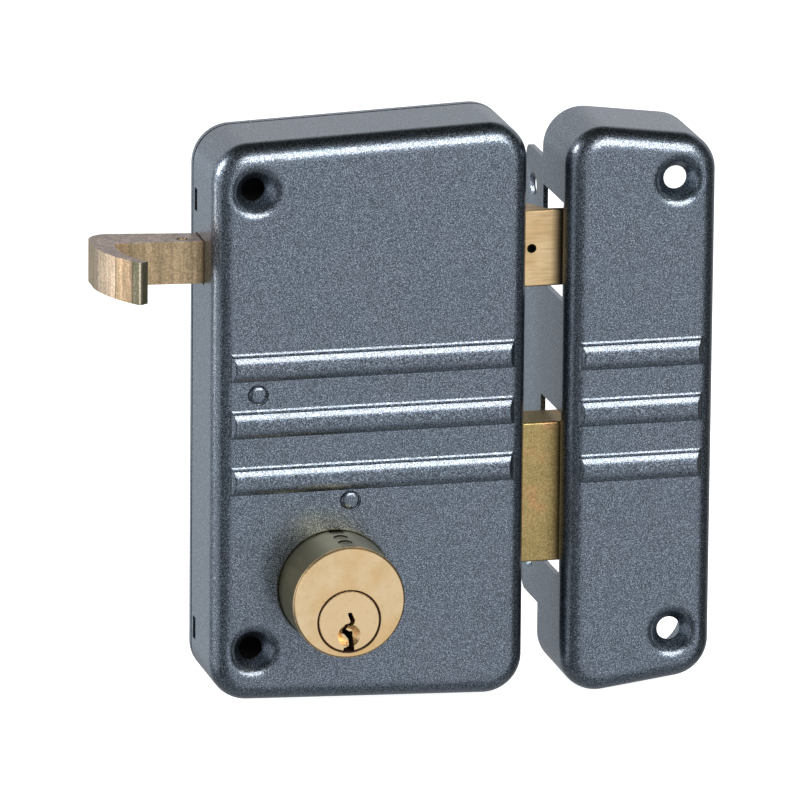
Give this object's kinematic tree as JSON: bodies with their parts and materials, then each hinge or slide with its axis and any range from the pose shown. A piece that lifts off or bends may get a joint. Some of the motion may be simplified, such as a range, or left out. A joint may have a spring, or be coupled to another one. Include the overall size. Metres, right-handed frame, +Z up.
{
  "type": "rim night latch",
  "caption": "Surface-mounted rim night latch with pull hook, bevelled latch, deadbolt, round pin-tumbler cylinder and a flanged keeper.",
  "frame": {"origin": "centre of the case's back face, which lies on the door", "axes": "+X from the case to the keeper, +Y back into the door, +Z up"},
  "size_m": [0.1368, 0.051, 0.1298],
  "materials": {
    "hammered_paint": "grey-blue hammered paint",
    "yellow_brass": "satin, turned",
    "aged_brass": "sawn and tumbled, darkened",
    "bronze_brass": "cast, speckled",
    "zinc_steel": "zinc plated",
    "spring_steel": "oiled"
  },
  "bodies": {
    "case": {"lock_cover": "hammered_paint", "base_plate": "hammered_paint", "bolt_guide_plate": "zinc_steel", "screw_sleeves": "zinc_steel", "lever_pivot_rivet": "hammered_paint", "bolt_guide_rivet": "hammered_paint", "cylinder_body": "yellow_brass", "chamber_caps": "yellow_brass", "driver_pins": "yellow_brass", "pin_springs": "spring_steel", "cylinder_screws": "zinc_steel", "bolt_friction_spring": "spring_steel", "friction_spring_rivet": "spring_steel", "spring_stop": "zinc_steel", "spring_stop_rivets": "spring_steel", "latch_spring": "spring_steel", "keeper": "hammered_paint"},
    "latch": {"latch_bolt": "yellow_brass", "latch_grub_screw": "spring_steel", "latch_tail_bar": "zinc_steel", "lever_drive_pin": "spring_steel", "pull_handle": "aged_brass", "handle_pin": "aged_brass"},
    "lever": {"latch_lever": "zinc_steel"},
    "plug": {"cylinder_plug": "yellow_brass", "key_pins": "yellow_brass", "drive_pinion": "zinc_steel", "plug_clip": "spring_steel"},
    "bolt": {"deadbolt": "bronze_brass", "rack_tail_plate": "zinc_steel", "rack_rivets": "spring_steel"}
  },
  "joints": [
    {"name": "latch_slide", "type": "slide", "parent": "case", "child": "latch", "axis": [-1, 0, 0], "range_m": [0, 0.0095], "stiffness_N_per_m": 300, "springref_m": -0.01, "deforming": ["latch_spring"]},
    {"name": "lever_swing", "type": "hinge", "parent": "case", "child": "lever", "pos_m": [-0.0253, -0.0035, 0.007], "axis": [0, -1, 0], "range_deg": [0, 19.6]},
    {"name": "deadbolt_slide", "type": "slide", "parent": "case", "child": "bolt", "axis": [-1, 0, 0], "range_m": [0, 0.0188]},
    {"name": "plug_turn", "type": "hinge", "parent": "case", "child": "plug", "pos_m": [-0.008, -0.02, -0.0411], "axis": [0, -1, 0], "range_deg": [0, 360]}
  ],
  "couplings": [
    {"joint": "lever_swing", "follows": "latch_slide", "rad_per_m": 35.86},
    {"joint": "plug_turn", "follows": "deadbolt_slide", "rad_per_m": 333.33}
  ]
}
